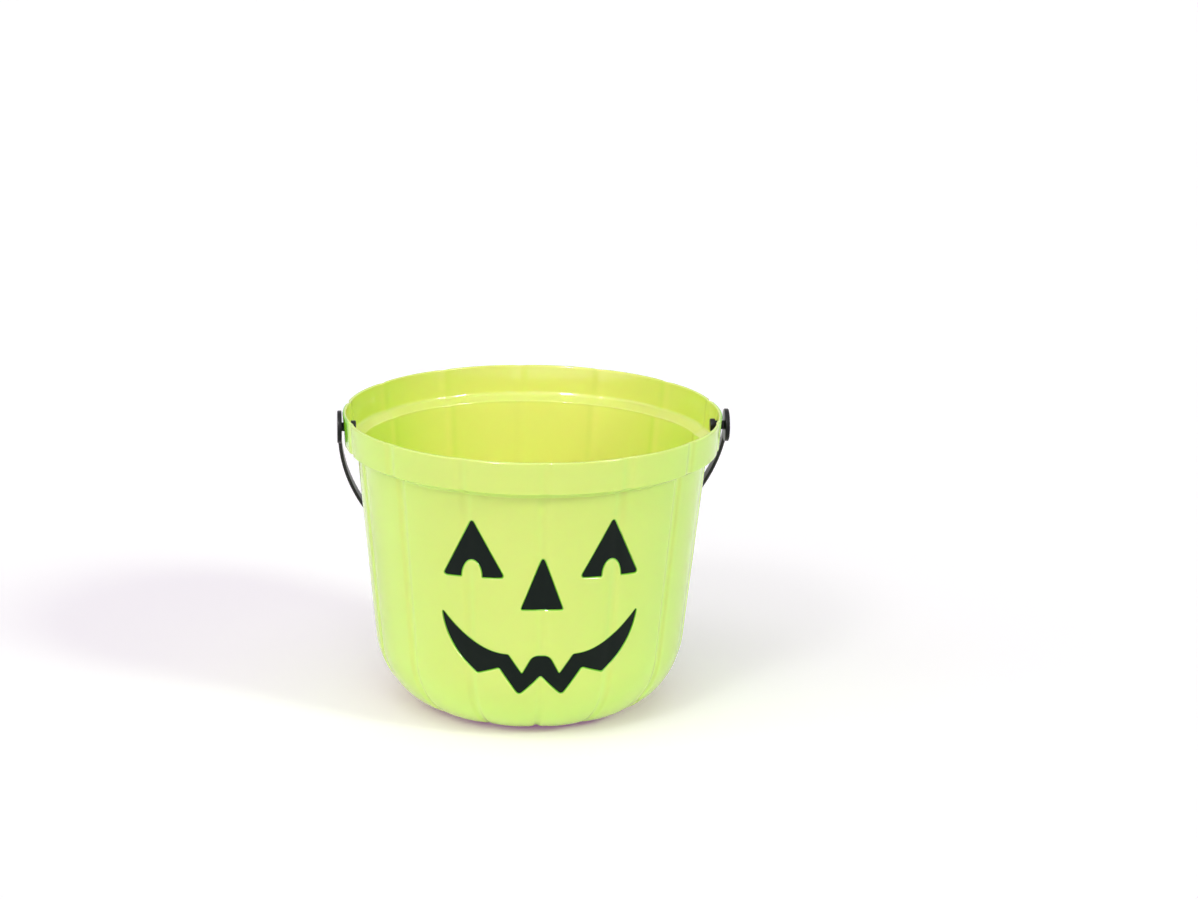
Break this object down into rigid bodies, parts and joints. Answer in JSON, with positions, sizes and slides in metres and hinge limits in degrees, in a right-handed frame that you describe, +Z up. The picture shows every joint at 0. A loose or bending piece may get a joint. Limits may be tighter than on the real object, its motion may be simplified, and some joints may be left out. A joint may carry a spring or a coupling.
{
  "type": "halloween bucket",
  "caption": "Round lobed plastic treat bucket with a sunk jack-o'-lantern face, a wide rim band and a thin bail that swings on side pins.",
  "frame": {"origin": "centre of the flat base, on the surface the bucket stands on", "axes": "+Z up, -Y the way the face looks, +X along the bail's pivot axis"},
  "size_m": [0.225, 0.2168, 0.1734],
  "materials": {
    "lime_plastic": "semi-gloss moulded polypropylene, pale lime",
    "black_paint": "satin black paint in the sunk face",
    "black_plastic": "satin-gloss moulded black plastic"
  },
  "bodies": {
    "bucket": {"bucket_shell": "lime_plastic", "left_eye": "black_paint", "right_eye": "black_paint", "nose": "black_paint", "mouth": "black_paint"},
    "bail": {"handle": "black_plastic"}
  },
  "joints": [
    {"name": "handle_swing", "type": "hinge", "parent": "bucket", "child": "bail", "pos_m": [0, 0, 0.164], "axis": [1, 0, 0], "range_deg": [0, 279.8]}
  ]
}
